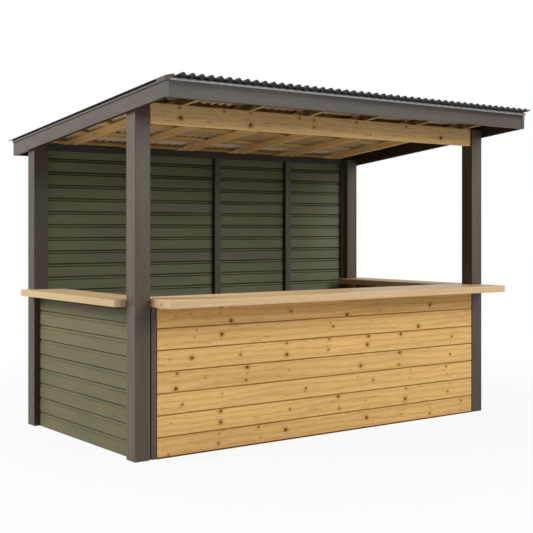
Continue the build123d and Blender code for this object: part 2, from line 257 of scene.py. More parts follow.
def pineMaterial(look):
    # Softwood: growth rings cut by the face, long broken streaks, brown knots with a warm halo, darker
    # end grain, paler arrises from wear and painted highlight, dirt and painted shade in the joints, a satin
    # sheen.
    material, tree = newMaterial(look["name"])
    grain, (tone, edge, knot, groove, side), (slow, long, thin, fine) = meshInputs(tree, pinePatterns)
    wander = addNode(tree, "ShaderNodeTexNoise", {"Vector": slow, "Scale": 1.0, "Detail": 2.0})
    dash = addNode(tree, "ShaderNodeTexNoise", {
        "Vector": long, "Scale": 1.0, "Detail": 3.0, "Roughness": 0.6})
    fibre = addNode(tree, "ShaderNodeTexNoise", {"Vector": thin, "Scale": 1.0, "Detail": 2.0})
    ragged = addNode(tree, "ShaderNodeTexNoise", {"Vector": fine, "Scale": 1.0, "Detail": 2.0})
    across = addNode(tree, "ShaderNodeVectorMath", {0: grain, 1: (0, 1, 1)}, operation="MULTIPLY")
    radius = addNode(tree, "ShaderNodeVectorMath", {0: across}, out="Value", operation="LENGTH")
    bent = addNode(tree, "ShaderNodeMath", {0: wander, 1: 0.085, 2: radius},  # by up to 85 mm
                   operation="MULTIPLY_ADD")
    count = addNode(tree, "ShaderNodeMath", {0: bent, 1: look["ring"]}, operation="DIVIDE")
    saw = addNode(tree, "ShaderNodeMath", {0: count, 1: 1.0}, operation="PINGPONG")
    late = addNode(tree, "ShaderNodeMath", {0: saw, 1: 2.5}, operation="POWER")  # late wood is a narrow line
    rings = addNode(tree, "ShaderNodeMath", {0: late, 1: look["rings"]}, operation="MULTIPLY")
    streaks = addNode(tree, "ShaderNodeMapRange", {
        "Value": dash, "From Min": 0.57, "From Max": 0.74, "To Max": look["streaks"]})
    rim = addNode(tree, "ShaderNodeMath", {0: ragged, 1: 1.1, 2: knot}, operation="MULTIPLY_ADD")
    halo = addNode(tree, "ShaderNodeMapRange", {
        "Value": rim, "From Min": 0.5, "From Max": 1.1, "To Max": 0.6})
    halo = addNode(tree, "ShaderNodeMath", {0: halo, 1: knot}, operation="MULTIPLY")
    halo = addNode(tree, "ShaderNodeMath", {0: halo, 1: 2.0}, operation="MULTIPLY", use_clamp=True)
    core = addNode(tree, "ShaderNodeMapRange", {
        "Value": rim, "From Min": 1.0, "From Max": 1.4, "To Max": 0.8})
    # paler arrises: wear and painted highlight
    worn = addNode(tree, "ShaderNodeMath", {0: edge, 1: 0.3}, operation="MULTIPLY")
    uneven = addNode(tree, "ShaderNodeMapRange", {
        "Value": dash, "From Min": 0.3, "From Max": 0.7, "To Min": 0.7, "To Max": 1.0})
    # joint dirt and painted shade
    dirtShadeShare = addNode(tree, "ShaderNodeMath", {0: groove, 1: uneven}, operation="MULTIPLY")
    cutEnd = addNode(tree, "ShaderNodeMath", {0: side, 1: 0.8}, operation="MULTIPLY")
    body = colour(look["light"])
    for share, code in ((rings, look["dark"]), (streaks, look["streak"]), (worn, look["arris"]),
                        (cutEnd, look["end"]), (dirtShadeShare, look["joint"]),
                        (halo, dirtAndShadeColours["halo"]), (core, dirtAndShadeColours["core"])):
        body = addNode(tree, "ShaderNodeMix", {0: share, 6: body, 7: colour(code)}, out=2, data_type="RGBA")
    lift = addNode(tree, "ShaderNodeMath", {0: tone, 1: 0.05, 2: 0.84}, operation="MULTIPLY_ADD")
    lift = addNode(tree, "ShaderNodeMath", {0: wander, 1: 0.32, 2: lift}, operation="MULTIPLY_ADD")
    body = addNode(tree, "ShaderNodeHueSaturation", {"Value": lift, "Color": body})
    gloss = addNode(tree, "ShaderNodeMath", {
        0: fibre, 1: 0.16, 2: look["roughness"] - 0.08}, operation="MULTIPLY_ADD")
    height = addNode(tree, "ShaderNodeMath", {0: late, 1: 0.4, 2: fibre}, operation="MULTIPLY_ADD")
    bump = addNode(tree, "ShaderNodeBump", {"Height": height, "Strength": 0.18, "Distance": 0.0012})
    closeMaterial(tree, look, body, gloss, bump)
    return material


paintLooks = {  # satin exterior paint over planed timber
    "post": {"name": "satin_brown_grey_paint", "main": "#574C40", "second": "#50463A", "worn": "#7A6E62",
             "end": "#5E564C", "roughness": 0.40, "gloss": 0.3},
    "fascia": {"name": "satin_grey_paint", "main": "#534B43", "second": "#4C443D", "worn": "#665E56",
               "end": "#605E58", "roughness": 0.44, "gloss": 0.22},
    "green": {"name": "satin_olive_paint", "main": "#665F43", "second": "#56583F", "worn": "#746E52",
              "end": "#4A472F", "roughness": 0.50, "gloss": 0.12},
    # inside and backPost: copies of the olive and brown-grey paints retinted for the walls and trim in shade
    # under the roof, painted shade
    "inside": {"name": "shaded_olive_paint", "main": "#787C63", "second": "#6B715A", "worn": "#82866E",
               "end": "#4A472F", "roughness": 0.50, "gloss": 0.12},
    "backPost": {"name": "shaded_brown_grey_paint", "main": "#5C564E", "second": "#544F47", "worn": "#746C62",
                 "end": "#5E564C", "roughness": 0.42, "gloss": 0.25},
}
paintPatterns = {"slow": (0.6, 0.055), "brushed": (0.25, 0.009), "thin": (0.08, 0.0014)}  # as for the pine


def paintMaterial(look):
    # Brushed satin paint: soft bands along the board, the grain showing through as a fine bump, paler worn
    # arrises, dark joints and checks, and dark paint as painted shade on undersides, inner sides and shaded
    # parts.
    material, tree = newMaterial(look["name"])
    (tone, edge, knot, groove, side), (slow, brushed, thin) = meshInputs(tree, paintPatterns)[1:]
    cloud = addNode(tree, "ShaderNodeTexNoise", {"Vector": slow, "Scale": 1.0, "Detail": 3.0})
    streak = addNode(tree, "ShaderNodeTexNoise", {"Vector": brushed, "Scale": 1.0, "Detail": 2.0})
    fibre = addNode(tree, "ShaderNodeTexNoise", {"Vector": thin, "Scale": 1.0, "Detail": 2.0})
    both = addNode(tree, "ShaderNodeMath", {0: streak, 1: 0.35, 2: cloud}, operation="MULTIPLY_ADD")
    bands = addNode(tree, "ShaderNodeMapRange", {"Value": both, "From Min": 0.5, "From Max": 0.85})
    paleArris = addNode(tree, "ShaderNodeMath", {0: edge, 1: cloud}, operation="MULTIPLY")
    uneven = addNode(tree, "ShaderNodeMapRange", {
        "Value": cloud, "From Min": 0.35, "From Max": 0.65, "To Min": 0.8, "To Max": 1.0})
    # joint dirt and painted shade
    dirtShadeShare = addNode(tree, "ShaderNodeMath", {0: groove, 1: uneven}, operation="MULTIPLY")
    check = addNode(tree, "ShaderNodeMapRange", {
        "Value": knot, "From Min": 0.5, "From Max": 0.8, "To Max": 0.8})
    body = colour(look["main"])
    for share, code in ((bands, look["second"]), (paleArris, look["worn"]), (side, look["end"]),
                        (dirtShadeShare, dirtAndShadeColours["paint"]), (check, dirtAndShadeColours["check"])):
        body = addNode(tree, "ShaderNodeMix", {0: share, 6: body, 7: colour(code)}, out=2, data_type="RGBA")
    lift = addNode(tree, "ShaderNodeMath", {0: tone, 1: 0.05, 2: 1.0}, operation="MULTIPLY_ADD")
    body = addNode(tree, "ShaderNodeHueSaturation", {"Value": lift, "Color": body})
    gloss = addNode(tree, "ShaderNodeMath", {
        0: streak, 1: 0.14, 2: look["roughness"] - 0.07}, operation="MULTIPLY_ADD")
    bump = addNode(tree, "ShaderNodeBump", {"Height": fibre, "Strength": 0.06, "Distance": 0.001})
    closeMaterial(tree, look, body, gloss, bump)
    return material


steelLooks = {  # colour-coated steel, with its backing coat
    "sheet": {"name": "colour_coated_corrugated_steel", "main": "#5E5E62", "dust": "#6A6A6A",
              "back": "#DEC29A", "roughness": 0.40, "gloss": 0.3},
    "capping": {"name": "colour_coated_folded_steel", "main": "#625D59", "dust": "#6A6561",
                "back": "#625D59", "roughness": 0.42, "gloss": 0.02},
    "flashing": {"name": "light_coated_folded_steel", "main": "#8C8A87", "dust": "#989692",
                 "back": "#8C8A87", "roughness": 0.38, "gloss": 0.4},
}


def steelMaterial(look):
    # Baked coating on steel: even colour, fine dust in broad clouds, paler backing coat inside the roof,
    # painted shadow in the eaves troughs and on the capping's turned edge, dirt and painted shade in the
    # flutes.
    material, tree = newMaterial(look["name"])
    place = addNode(tree, "ShaderNodeTexCoord", out="Object")
    side, groove = (
        addNode(tree, "ShaderNodeAttribute", out="Fac", attribute_name=key) for key in ("side", "groove"))
    cloud, speck = (
        addNode(tree, "ShaderNodeTexNoise", {"Vector": place, "Scale": scale, "Detail": detail})
        for scale, detail in ((6.0, 4.0), (260.0, 1.0)))  # clouds of 170 mm, mottle of 4 mm
    dust = addNode(tree, "ShaderNodeMapRange", {
        "Value": cloud, "From Min": 0.45, "From Max": 0.8, "To Max": 0.5})
    body = colour(look["main"])
    # painted shade and flute dirt darken towards the near-black
    for share, code in ((dust, look["dust"]), (side, look["back"]), (groove, dirtAndShadeColours["steel"])):
        body = addNode(tree, "ShaderNodeMix", {0: share, 6: body, 7: colour(code)}, out=2, data_type="RGBA")
    gloss = addNode(tree, "ShaderNodeMath", {
        0: cloud, 1: 0.2, 2: look["roughness"] - 0.1}, operation="MULTIPLY_ADD")
    bump = addNode(tree, "ShaderNodeBump", {"Height": speck, "Strength": 0.06, "Distance": 0.0005})
    closeMaterial(tree, look, body, gloss, bump)
    return material


boardPine, framePine, counterPine, shelfPine = (pineMaterial(look) for look in pineLooks.values())
postPaint, fasciaPaint, greenPaint, insidePaint, backPaint = (
    paintMaterial(look) for look in paintLooks.values())
sheetSteel, cappingSteel, flashingSteel = (steelMaterial(look) for look in steelLooks.values())
print("finishes made")

# Posts, stile, header and corner battens: square painted timber with eased arrises.
posts = {"edge": 0.005, "stileGap": 0.011, "checkRadius": 0.013}  # the gap is an open joint by the left post
footChecks = {"front_left_post": (0.5, 0.085), "back_left_post": (0.5, 0.115)}  # share of the depth, height
postShade = {"back_left_post": (0.5, 0.5), "front_right_post": (0.35, 0.0)}  # painted shade at the foot, at the top
backTrim = {"back_header": (0, 0.8), "back_left_batten": (2, 0.2), "back_right_batten": (2, 0.2)}  # run, painted shade
for nodeName in ("front_left_post", "front_right_post", "back_left_post", "back_right_post", "front_stile"):
    low, high = box(nodeName)
    low[0] += posts["stileGap"] if nodeName == "front_stile" else 0
    stick = timberInBox(low, high, 2, posts["edge"])
    foot, top = postShade.get(nodeName, (0.0, 0.0))
    stick["groove"] = foot + (top - foot) * stick["points"][:, 2] / high[2]
    parts = [stick]
    if nodeName in footChecks:
        share, height = footChecks[nodeName]
        place = np.array([[low[0], low[1] + share * (high[1] - low[1]), height]])
        slit = np.array([posts["checkRadius"]])
        parts.append(knotDiscs(stick, place, slit, zAxis, yAxis, -xAxis, (low[1], high[1])))
    makePiece(nodeName + "_timber", parts, postPaint, [nodeName])
for nodeName, (axis, paintedShade) in backTrim.items():
    low, high = box(nodeName)
    stick = timberInBox(low, high, axis, posts["edge"])
    stick["groove"] = paintedShade  # painted shade under the roof
    makePiece(nodeName + "_timber", [stick], backPaint, [nodeName])
print("posts made")

# Studs behind the boards, split from the node's box by their shared size.
studs = {"width": 0.065, "edge": 0.003, "sideShade": 0.9,
         "shares": (0.291, 0.5265, 0.762)}  # places of the middles along the front
postOuter = box("front_left_post")[0][0]
frameWidth = box("front_right_post")[1][0] - postOuter


def studRow(nodeName, starts, axis, material, shade=0.0):
    low, high = box(nodeName)
    sticks = []
    for start in starts:
        lowOne, highOne = low.copy(), high.copy()
        lowOne[axis], highOne[axis] = start, start + studs["width"]
        sticks.append(timberInBox(lowOne, highOne, 2, studs["edge"], sideShade=shade))
    makePiece(nodeName + "_sticks", sticks, material, [nodeName])


backStarts = [postOuter + frameWidth * share - studs["width"] / 2 for share in studs["shares"]]
# painted shadow along one side of each stud: the left side at the back, the inner side on the right
studRow("back_studs", backStarts, 0, backPaint, studs["sideShade"])
studRow("front_studs", backStarts + [box("front_studs")[1][0] - studs["width"]], 0, framePine)
for side, shade in (("left", 0.0), ("right", studs["sideShade"])):
    low, high = box(side + "_studs")
    spots = [low[1], (low[1] + high[1] - studs["width"]) / 2, high[1] - studs["width"]]
    studRow(side + "_studs", spots, 1, framePine, shade)
print("studs made")

# Front wall: seven pine boards, each rebated at its top so that a shadow joint shows under the next one.
frontWall = {"courses": 7, "edge": 0.002, "joint": 0.008, "jointDepth": 0.004, "topJoint": 0.003,
             "endEase": 0.001, "notch": 0.016, "endGap": 0.009,  # length of painted shade where the joints open, and gap by the right post
             "footShadow": (0.008, 0.8), "lip": (0.001, 0.5), "fade": 1.4}  # height and painted shade at a lower arris: a contact shadow at the foot, a thin line under each lip
knotRadius = {1: 0.0055, 2: 0.0090, 3: 0.0125}  # by size
knotDarkness = {1: 0.72, 2: 0.88, 3: 1.0}
boardKnots = [  # read off the photograph, board by board from the ground: x, share of height, size
    [(-1.44, 0.10, 2), (-1.03, 0.35, 2), (-1.02, 0.85, 1), (-0.68, 0.90, 2), (-0.66, 0.35, 1),
     (-0.43, 0.55, 3), (0.37, 0.60, 3), (0.75, 0.50, 1), (1.07, 0.30, 2), (1.07, 0.65, 1), (1.44, 0.80, 2),
     (1.44, 0.20, 1)],
    [(-1.42, 0.60, 1), (-1.01, 0.35, 3), (-1.01, 0.95, 3), (-0.39, 0.55, 2), (0.08, 0.95, 3),
     (0.09, 0.25, 2), (0.36, 0.50, 1), (0.79, 0.30, 3), (0.80, 0.90, 2), (1.28, 0.40, 2), (1.31, 0.85, 1)],
    [(-1.33, 0.40, 2), (-1.00, 0.75, 1), (-1.00, 0.55, 1), (-0.24, 0.50, 2), (-0.25, 0.35, 1),
     (0.28, 0.80, 1), (0.44, 0.55, 2), (0.84, 0.45, 1), (0.85, 0.85, 1), (1.23, 0.65, 1), (1.26, 0.85, 2),
     (1.27, 0.40, 1)],
    [(-1.37, 0.90, 2), (-1.38, 0.15, 3), (-1.14, 0.55, 1), (-0.78, 0.90, 3), (-0.78, 0.55, 1),
     (-0.79, 0.20, 2), (-0.40, 0.50, 1), (0.31, 0.35, 3), (0.32, 0.95, 1), (0.73, 0.90, 3), (0.72, 0.20, 2),
     (1.31, 0.50, 2)],
    [(-1.43, 0.55, 1), (-1.25, 0.55, 3), (-0.84, 0.50, 2), (-0.83, 0.70, 1), (-0.42, 0.30, 3),
     (-0.42, 0.90, 2), (-0.02, 0.35, 2), (-0.01, 0.95, 2), (0.38, 0.45, 3), (0.39, 0.95, 3), (0.74, 0.90, 3),
     (1.33, 0.50, 2), (1.33, 0.95, 1)],
    [(-1.23, 0.50, 1), (-1.21, 0.85, 1), (-1.00, 0.55, 3), (0.00, 0.75, 1), (0.03, 0.55, 2), (0.94, 0.20, 3),
     (0.94, 0.95, 1)],
    [(-1.38, 0.55, 1), (-1.26, 0.60, 1), (-1.02, 0.55, 1), (-1.01, 0.85, 2), (-0.92, 0.15, 3),
     (-0.92, 0.85, 1), (-0.40, 0.95, 2), (-0.38, 0.45, 2), (0.17, 0.05, 3), (0.20, 0.75, 1), (0.50, 0.60, 1),
     (0.50, 0.20, 1), (1.06, 0.90, 1), (1.07, 0.35, 3)],
]


def knottedFace(host, table, faceY, zLow, zHigh, margin=knotForm["margin"]):
    # Knots of one board's front face, given as x, share of the height and size; the lower margin may differ.
    xPlace, share, size = np.asarray(table, float).T
    core, dark = np.vectorize(knotRadius.get)(size), np.vectorize(knotDarkness.get)(size)
    inset = core * knotForm["inset"]
    zPlace = np.clip(zLow + share * (zHigh - zLow), zLow + inset, zHigh - inset)
    places = np.stack([xPlace, np.full(len(core), faceY), zPlace], 1)
    limits = (zLow + margin, zHigh - knotForm["margin"])
    return knotDiscs(host, places, core * knotForm["grow"], xAxis, zAxis, -yAxis, limits, dark)


def rebateSection(cover, thick, joint, shadeRise, dark):
    # Board section as a loop of (depth, height): eased face with painted shade above its lower arris, then a
    # ledge cut back at the top where the next board's lip hangs over, darkened as joint dirt and painted
    # shade.
    deep, ease = frontWall["jointDepth"], frontWall["edge"]
    turn = np.linspace(0, math.pi / 2, 3)
    lower = np.stack([ease * (1 - np.sin(turn)), ease * (1 - np.cos(turn))], 1)
    upper = np.stack([ease * (1 - np.cos(turn)), cover - joint - ease * (1 - np.sin(turn))], 1)
    shadedFoot = [[0, ease + shadeRise], [0, ease + shadeRise * frontWall["fade"]]]
    ledge = [[deep, cover - joint], [deep, cover], [thick, cover], [thick, 0]]
    return {"ring": np.concatenate([[[thick / 2, 0]], lower, shadedFoot, upper, ledge]),
            "worn": np.array([0, 0, 1, 0, 0, 0, 0, 1, 0, 0, 0, 0, 0]),
            "groove": np.array([1, dark, dark, dark, dark, 0, 0, 0.1, 0.4, 1, 1, 0, 0])}


low, high = box("front_boards")
high[0] -= frontWall["endGap"]
cover = (high[2] - low[2]) / frontWall["courses"]
stations = (0, 1 - frontWall["notch"] / (high[0] - low[0]), 1)
parts = []
for course in range(frontWall["courses"]):
    zLow = low[2] + course * cover
    joint = frontWall["joint"] if course < frontWall["courses"] - 1 else frontWall["topJoint"]
    shadeRise, dark = frontWall["footShadow"] if course == 0 else frontWall["lip"]
    section = rebateSection(cover, high[1] - low[1], joint, shadeRise, dark)
    board = sweep((low[0], low[1], zLow), (high[0] - low[0], 0, 0), yAxis, zAxis, section, stations,
                  frontWall["endEase"])
    footAndJointShade = np.zeros((len(stations) + 2, len(section["ring"])))
    footAndJointShade[:, 1:5] = 1.0 if course == 0 else 0.0  # painted contact shadow along the lower arris
    footAndJointShade[3:, 8:11] = 1.0  # painted shade where the joint opens at the right post
    board["knot"] = footAndJointShade.ravel()
    margin = frontWall["edge"] + shadeRise * frontWall["fade"]
    parts += [board, knottedFace(board, boardKnots[course], low[1], zLow, zLow + cover - joint, margin)]
makePiece("front_wall_boards", parts, boardPine, ["front_boards"])
print("front wall made")

# Green walls: shiplap boards with a scored line below a shallow hollow that runs up under the next lip;
# painted shadow darkens the score and the lip.
shiplap = {"hollow": 0.030, "step": 0.001, "scoreDepth": 0.004, "lip": 0.0015, "lipFade": 0.6,
           "bevel": 0.001, "easing": 0.0025, "endEase": 0.001, "endReach": 0.012, "endShade": 0.9}
outdoors = {"depth": 0.004, "score": 0.006, "shade": 0.007, "lipShade": 1.0, "scoreShade": 0.15,
            "paint": greenPaint}
indoors = {"depth": 0.005, "score": 0.008, "shade": 0.010, "lipShade": 1.0, "scoreShade": 1.0,
           "paint": insidePaint}


def shiplapSide(cover, kind):
    # Board face as rows of (depth, height, worn, painted shade) from the foot up: lip, flat, V score,
    # sine-shaped hollow, shaded top; the shade darkens under the lip and in the score.
    lip, fade, step, bevel = (shiplap[key] for key in ("lip", "lipFade", "step", "bevel"))
    deep, score, dark, line = (kind[key] for key in ("depth", "score", "lipShade", "scoreShade"))
    foot = cover - shiplap["hollow"]
    shadeFoot = cover - kind["shade"]
    face = [[deep, 0, 0, dark], [lip, 0, 0, dark * fade], [0, lip, 0.4, 0], [0, foot, 0.2, 0],
            [bevel, foot + bevel, 0, line], [shiplap["scoreDepth"], foot + score / 2, 0, line],
            [step, foot + score - bevel, 0, line]]
    rise = np.linspace(0, 1, 4)
    hollow = np.stack([step + (deep - step) * np.sin(rise * math.pi / 2),
                       foot + score + (shadeFoot - bevel - foot - score) * rise, 0 * rise, 0 * rise], 1)
    return np.concatenate([face, hollow, [[deep, shadeFoot, 0, dark], [deep, cover, 0, dark]]])


def plainSide(cover):
    # Back of a board: flat with both arrises taken off, which leaves a small V between courses.
    ease = shiplap["easing"]
    return np.array([[ease, 0, 0, 1], [0, ease, 0.3, 0], [0, cover - ease, 0.3, 0], [ease, cover, 0, 1]])


def shiplapSection(cover, thick, kind):
    # Closed loop of the section, with the profiled face outside or inside.
    profiled, plain = shiplapSide(cover, kind), plainSide(cover)
    outer, inner = (plain, profiled) if kind is indoors else (profiled, plain)
    back = inner[::-1] * [-1, 1, 1, 1] + [thick, 0, 0, 0]
    rows = np.concatenate([outer, back])
    return {"ring": rows[:, :2], "worn": rows[:, 2], "groove": rows[:, 3]}


def shiplapWall(name, nodeName, courses, axis, outward, kind):
    low, high = box(nodeName)
    cover = (high[2] - low[2]) / courses
    deepAxis = 1 - axis
    section = shiplapSection(cover, high[deepAxis] - low[deepAxis], kind)
    origin = low.copy()
    origin[deepAxis] = high[deepAxis] if outward > 0 else low[deepAxis]
    length = high[axis] - low[axis]
    inDir = unit[deepAxis] * -outward
    reach = shiplap["endReach"] / length
    stations = (0, reach, reach, 1 - reach, 1 - reach, 1)  # painted shade in the hollow where boards meet the posts
    hollow = section["ring"][:, 1] > cover - shiplap["hollow"]
    nearPost = np.array([1, 1, 1, 0, 0, 1, 1, 1])[:, None]
    section["groove"] = np.maximum(section["groove"], nearPost * hollow * shiplap["endShade"])
    parts = [sweep(origin + course * cover * zAxis, unit[axis] * length, inDir, zAxis, section, stations,
                   shiplap["endEase"]) for course in range(courses)]
    makePiece(name, parts, kind["paint"], [nodeName])


shiplapWall("left_wall_boards", "left_boards", 9, 1, -1, outdoors)
shiplapWall("right_wall_boards", "right_boards", 9, 1, 1, outdoors)
shiplapWall("back_wall_boards", "back_boards", 21, 0, 1, indoors)
print("green walls made")

# Counter and shelves: thick pale planks.
planks = {"edge": 0.004, "spread": (0.02, 0.2), "checkRadius": 0.014, "innerShade": 0.6, "rightLight": 9.0}
endChecks = {"counter_front_plank": (0.45, 0.40), "counter_back_plank": (0.55, 0.55)}
plankRuns = {"counter_front_plank": 0, "counter_back_plank": 0}
for side in ("left", "right"):
    plankRuns.update({f"{side}_shelf_{place}": 1 for place in ("outer", "middle", "inner")})
for nodeName, axis in plankRuns.items():
    low, high = box(nodeName)
    shade = planks["innerShade"] if nodeName == "right_shelf_inner" else 0.0  # painted shade on its inner side, in a warm brown
    plank = timberInBox(low, high, axis, planks["edge"], planks["spread"], sideShade=shade)
    if nodeName.startswith("right"):  # painted light: the right shelf's planks are lightened
        plank["tone"] = planks["rightLight"]
    parts = [plank]
    if nodeName in endChecks:  # short drying checks in the left end
        shares = np.array([0, *endChecks[nodeName]])  # of the length, depth and height
        place = (low + shares * (high - low))[None]
        slit = np.array([planks["checkRadius"]])
        check = knotDiscs(plank, place, slit, zAxis, yAxis, -xAxis, (low[1], high[1]))
        parts.append({**check, "side": 1.0})
    makePiece(nodeName + "_timber", parts, shelfPine if axis else counterPine, [nodeName])
print("counter and shelves made")

# Front beam with its knots, a little short of the right post.
beam = {"edge": 0.003, "endGap": 0.016, "tone": 1.5,  # pale wood
        "topShade": 0.32, "darkEnd": 0.020}  # painted shade towards the top and by the right post
beamKnots = [  # as for the boards
    (-1.35, 0.85, 2), (-1.34, 0.35, 3), (-0.98, 0.85, 2), (-0.75, 0.90, 2), (-0.75, 0.25, 3),
    (-0.30, 0.85, 2), (-0.16, 0.80, 2), (-0.16, 0.40, 2), (0.27, 0.55, 1), (0.27, 0.85, 2), (0.37, 0.20, 1),
    (0.41, 0.20, 1), (0.80, 0.85, 2), (0.89, 0.55, 1), (1.18, 0.75, 1), (1.20, 0.35, 3)]
low, high = box("front_beam")
high[0] -= beam["endGap"]
stations = (0, 1 - beam["darkEnd"] / (high[0] - low[0]), 1)
stick = timberInBox(low, high, 0, beam["edge"], topShade=beam["topShade"], stations=stations)
stick["tone"] = beam["tone"]
# painted shade at the right end, by the post
stick["groove"] = np.where(stick["points"][:, 0] > high[0] - beam["darkEnd"] / 2, 1.0, stick["groove"])
knots = knottedFace(stick, beamKnots, low[1], low[2], high[2])
# the knots take the same painted shade as the face round them
knots["groove"] = beam["topShade"] * (knots["points"][:, 2] - low[2]) / (high[2] - low[2])
makePiece("front_beam_timber", [stick, knots], framePine, ["front_beam"])

# Rafters: sticks down the slope, seated flat on the beam and on the wall header.
rafters = {"count": 6, "height": 0.050, "edge": 0.002, "eavesShade": 1.0,
           "darker": {"rafter_1": -3.5, "rafter_2": -3.5}}  # painted shade: the rafters by the left wall are made darker
beamLow, beamHigh = box("front_beam")
headerLow = box("back_header")[0]
wallBack = box("back_left_post")[1][1]
fadeEnd = box("purlin_2")[1][1]
for index in range(rafters["count"]):
    nodeName = f"rafter_{index + 1}"
    low, high = box(nodeName)
    run = high[1] - low[1]
    seats = np.array([beamLow[1], beamHigh[1], beamHigh[1], fadeEnd, headerLow[1], wallBack, wallBack])
    stations = np.concatenate([[0], (seats - low[1]) / run, [1]])
    lift = np.zeros(len(stations))
    lift[2], lift[6] = fall * (beamHigh[1] - beamLow[1]), fall * (wallBack - headerLow[1])  # level seats
    section = roundedSection(high[0] - low[0], rafters["height"], rafters["edge"])
    origin = ((low[0] + high[0]) / 2, low[1], high[2] - rafters["height"] / 2)
    eaves = np.arange(len(stations) + 2) < 5  # painted shade from the tail to the beam, none past the second batten
    across, upright = section["ring"].T
    paleArris = (across > 0) & (upright < 0)  # no painted shade on the lower right arris, which reads as a lit edge: painted highlight
    section["groove"] = eaves[:, None] * np.where(paleArris, 0.0, rafters["eavesShade"])
    stick = sweep(origin, (0, run, -fall * run), xAxis, zAxis, section, stations, lift=lift)
    stick["tone"] = rafters["darker"].get(nodeName, stick["tone"])
    makePiece(nodeName + "_timber", [stick], framePine, [nodeName])

# Battens across the rafters, leaning with the roof.
purlins = {"count": 6, "height": 0.020, "edge": 0.002, "shade": 0.3,
           "eavesRows": 2, "eavesShade": 1.0}  # painted shade on all, strongest on the first ones at the eaves
for index in range(purlins["count"]):
    nodeName = f"purlin_{index + 1}"
    low, high = box(nodeName)
    section = roundedSection(high[1] - low[1], purlins["height"], purlins["edge"])
    middle = (low + high) / 2
    section["groove"] += purlins["eavesShade"] if index < purlins["eavesRows"] else purlins["shade"]
    stick = sweep((low[0], middle[1], middle[2]), (high[0] - low[0], 0, 0), (0, 1, -fall), zAxis, section)
    makePiece(nodeName + "_timber", [stick], framePine, [nodeName])
print("roof timbers made")

# Fascia boards: the side ones follow the slope with upright ends, the cross ones are level below and
# bevelled above. The lower edges and the inner sides get painted shade.
fascia = {"edge": 0.003, "lowerShade": 0.8, "innerShade": 0.75, "cornerGap": 0.007,
          "sideEase": 0.0006, "crossEase": 0.001,
          "flashingShadow": ((0.044, 1.0), (0.054, 0.45), (0.085, 0.0))}  # depth and painted shadow below the flashing
stripAt = 6  # place in the section's loop of the strip below the flashing, after the upper outer arris
for side, inward in (("left", 1), ("right", -1)):
    nodeName = side + "_fascia"
    low, high = box(nodeName)
    run = high[1] - low[1]
    deep = high[2] - low[2] - fall * run
    section = roundedSection(high[0] - low[0], deep, fascia["edge"])
    across, upright = section["ring"].T
    section["groove"] = np.where(upright < fascia["edge"] - deep / 2, fascia["lowerShade"], 0)
    section["groove"] = np.where(across * inward > 0, fascia["innerShade"], section["groove"])
    origin = ((low[0] + high[0]) / 2, low[1], high[2] - deep / 2)
    stick = sweep(origin, (0, run, -fall * run), xAxis, zAxis, section, ease=fascia["sideEase"])
    makePiece(nodeName + "_board", [stick], fasciaPaint, [nodeName])
for side, inward in (("front", 1), ("back", -1)):
    nodeName = side + "_fascia"
    low, high = box(nodeName)
    high[0] -= fascia["cornerGap"]
    thick, deep = high[1:] - low[1:]
    section = roundedSection(thick, deep, fascia["edge"])
    depths, shades = np.array(fascia["flashingShadow"]).T
    strip = np.stack([0 * depths - thick / 2, deep / 2 - depths], 1)
    section["ring"] = np.insert(section["ring"], stripAt, strip, axis=0)
    section["worn"] = np.insert(section["worn"], stripAt, 0 * depths)
    across, upright = section["ring"].T.copy()
    section["ring"][:, 1] -= np.where(upright > 0, fall * (across + thick / 2), 0)
    section["groove"] = np.where(across * inward > 0, fascia["innerShade"], 0.0)
    if side == "front":
        section["groove"][3:stripAt + len(shades)] = np.concatenate([np.repeat(shades[0], 3), shades])
    middle = (low + high) / 2
    stick = sweep((low[0], middle[1], middle[2]), (high[0] - low[0], 0, 0), yAxis, zAxis, section,
                  ease=fascia["crossEase"])
    makePiece(nodeName + "_board", [stick], fasciaPaint, [nodeName])
print("fascias made")

# Roof sheet: round corrugations of one radius, from a trough on the left to a crest on the right.
sheet = {"waves": 47.5, "depth": 0.020, "thick": 0.0016, "perWave": 16, "rows": 9, "darkEaves": 0.08,
         "paintedShade": 1.0, "fluteDirtAndShade": 0.14}
low, high = box("roof_sheet")
wide, run = high[0] - low[0], high[1] - low[1]
pitch = wide / sheet["waves"]
quarter = pitch / 4
halfTurn = 2 * math.atan2(sheet["depth"] / 2, quarter)
bendRadius = quarter / math.sin(halfTurn)


def waveHeight(x):
    # Height of the sheet's middle above its trough: a circle arc each side of the trough and of the crest.
    phase = np.mod(x / pitch, 1.0)
    fromTrough = np.minimum(phase, 1 - phase) * pitch
    fromCrest = pitch / 2 - fromTrough
    trough = bendRadius - np.sqrt(np.maximum(bendRadius ** 2 - fromTrough ** 2, 0))
    crest = sheet["depth"] - bendRadius + np.sqrt(np.maximum(bendRadius ** 2 - fromCrest ** 2, 0))
    return np.where(fromTrough < quarter, trough, crest)


columns, rows = int(sheet["waves"] * sheet["perWave"]) + 1, sheet["rows"]
